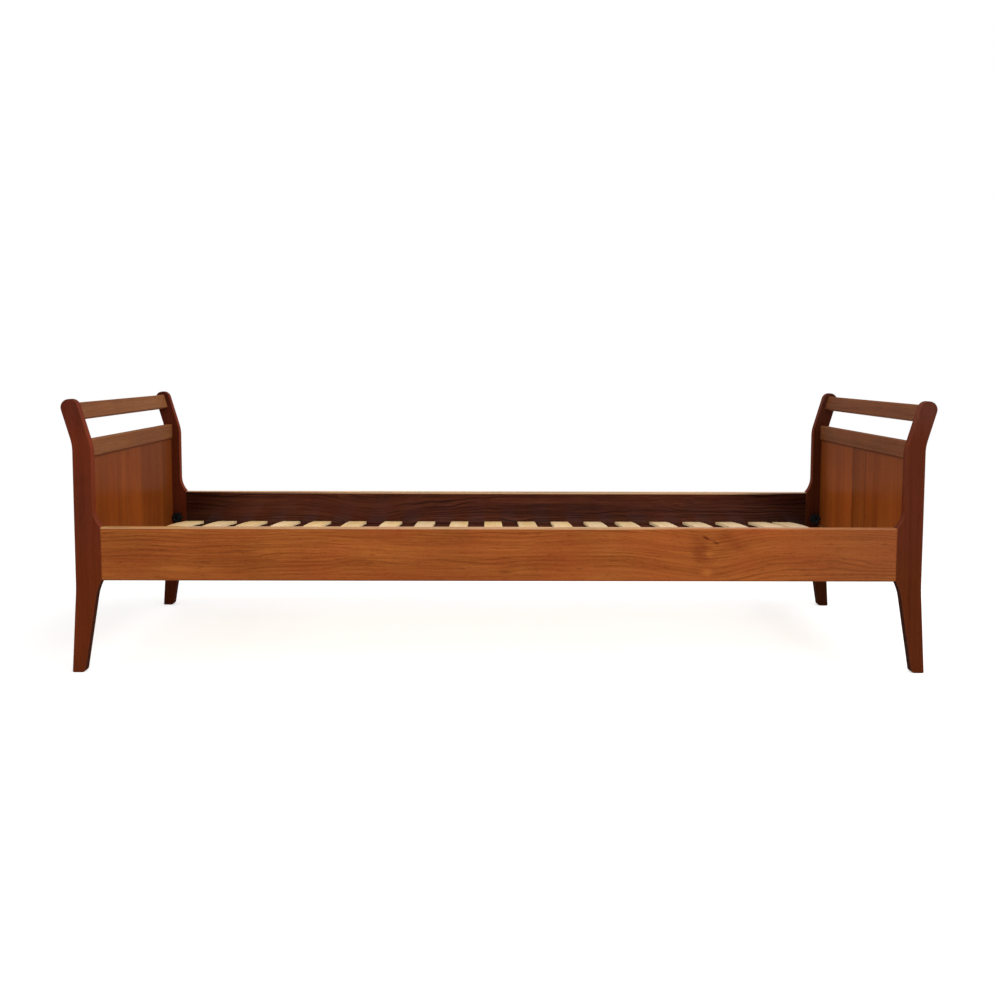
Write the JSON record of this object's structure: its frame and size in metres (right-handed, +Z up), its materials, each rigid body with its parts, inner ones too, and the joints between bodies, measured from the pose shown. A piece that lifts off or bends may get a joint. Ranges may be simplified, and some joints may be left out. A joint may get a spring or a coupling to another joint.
{
  "type": "single bed",
  "caption": "Single bed in dark teak with shaped plank posts, leaning top rails, panelled ends, plain side rails and a base of cambered pale slats.",
  "frame": {"origin": "on the floor, in the middle of the bed", "axes": "+X along the bed towards the right end, +Y across it away from the viewer, +Z up"},
  "size_m": [2.1204, 0.97, 0.6699],
  "materials": {
    "post_teak": "oiled dark teak, satin",
    "rail_teak": "oiled teak with straight grain, satin",
    "end_rail_teak": "oiled teak, satin",
    "panel_veneer": "teak veneer with upright grain, satin",
    "ledger_wood": "stained hardwood, matt",
    "slat_birch": "pale laminated birch, satin",
    "slat_webbing": "woven cotton tape",
    "black_plastic": "moulded black plastic",
    "zinc_plate": "zinc plated",
    "brass": "plain turned brass"
  },
  "bodies": {
    "bed_frame": {"left_front_post": "post_teak", "left_back_post": "post_teak", "right_front_post": "post_teak", "right_back_post": "post_teak", "front_side_rail": "rail_teak", "back_side_rail": "rail_teak", "left_top_rail": "end_rail_teak", "left_middle_rail": "end_rail_teak", "left_bottom_rail": "end_rail_teak", "right_top_rail": "end_rail_teak", "right_middle_rail": "end_rail_teak", "right_bottom_rail": "end_rail_teak", "left_end_panel": "panel_veneer", "right_end_panel": "panel_veneer", "front_slat_ledger": "ledger_wood", "back_slat_ledger": "ledger_wood", "slat_01": "slat_birch", "slat_02": "slat_birch", "slat_03": "slat_birch", "slat_04": "slat_birch", "slat_05": "slat_birch", "slat_06": "slat_birch", "slat_07": "slat_birch", "slat_08": "slat_birch", "slat_09": "slat_birch", "slat_10": "slat_birch", "slat_11": "slat_birch", "slat_12": "slat_birch", "slat_13": "slat_birch", "slat_14": "slat_birch", "slat_15": "slat_birch", "slat_16": "slat_birch", "slat_17": "slat_birch", "slat_18": "slat_birch", "slat_19": "slat_birch", "front_slat_tape": "slat_webbing", "back_slat_tape": "slat_webbing", "left_front_threaded_insert": "brass", "left_back_threaded_insert": "brass", "right_front_threaded_insert": "brass", "right_back_threaded_insert": "brass", "front_ledger_screw_1": "zinc_plate", "front_ledger_screw_2": "zinc_plate", "front_ledger_screw_3": "zinc_plate", "front_ledger_screw_4": "zinc_plate", "front_ledger_screw_5": "zinc_plate", "back_ledger_screw_1": "zinc_plate", "back_ledger_screw_2": "zinc_plate", "back_ledger_screw_3": "zinc_plate", "back_ledger_screw_4": "zinc_plate", "back_ledger_screw_5": "zinc_plate"},
    "left_front_washer": {"left_front_washer": "zinc_plate"},
    "left_front_hand_screw": {"left_front_hand_screw": "black_plastic"},
    "left_back_washer": {"left_back_washer": "zinc_plate"},
    "left_back_hand_screw": {"left_back_hand_screw": "black_plastic"},
    "right_front_washer": {"right_front_washer": "zinc_plate"},
    "right_front_hand_screw": {"right_front_hand_screw": "black_plastic"},
    "right_back_washer": {"right_back_washer": "zinc_plate"},
    "right_back_hand_screw": {"right_back_hand_screw": "black_plastic"}
  },
  "joints": [
    {"name": "left_front_screw_travel", "type": "slide", "parent": "bed_frame", "child": "left_front_washer", "axis": [0, 1, 0], "range_m": [0, 0.0101]},
    {"name": "left_front_screw_turn", "type": "hinge", "parent": "left_front_washer", "child": "left_front_hand_screw", "pos_m": [-0.996, -0.455, 0.279], "axis": [0, 1, 0], "range_deg": [0, 2880]},
    {"name": "left_back_screw_travel", "type": "slide", "parent": "bed_frame", "child": "left_back_washer", "axis": [0, -1, 0], "range_m": [0, 0.0101]},
    {"name": "left_back_screw_turn", "type": "hinge", "parent": "left_back_washer", "child": "left_back_hand_screw", "pos_m": [-0.996, 0.455, 0.279], "axis": [0, -1, 0], "range_deg": [0, 2880]},
    {"name": "right_front_screw_travel", "type": "slide", "parent": "bed_frame", "child": "right_front_washer", "axis": [0, 1, 0], "range_m": [0, 0.0101]},
    {"name": "right_front_screw_turn", "type": "hinge", "parent": "right_front_washer", "child": "right_front_hand_screw", "pos_m": [0.996, -0.455, 0.279], "axis": [0, 1, 0], "range_deg": [0, 2880]},
    {"name": "right_back_screw_travel", "type": "slide", "parent": "bed_frame", "child": "right_back_washer", "axis": [0, -1, 0], "range_m": [0, 0.0101]},
    {"name": "right_back_screw_turn", "type": "hinge", "parent": "right_back_washer", "child": "right_back_hand_screw", "pos_m": [0.996, 0.455, 0.279], "axis": [0, -1, 0], "range_deg": [0, 2880]}
  ],
  "couplings": [
    {"joint": "left_front_screw_travel", "follows": "left_front_screw_turn", "m_per_rad": 0.00019894},
    {"joint": "left_back_screw_travel", "follows": "left_back_screw_turn", "m_per_rad": 0.00019894},
    {"joint": "right_front_screw_travel", "follows": "right_front_screw_turn", "m_per_rad": 0.00019894},
    {"joint": "right_back_screw_travel", "follows": "right_back_screw_turn", "m_per_rad": 0.00019894}
  ]
}
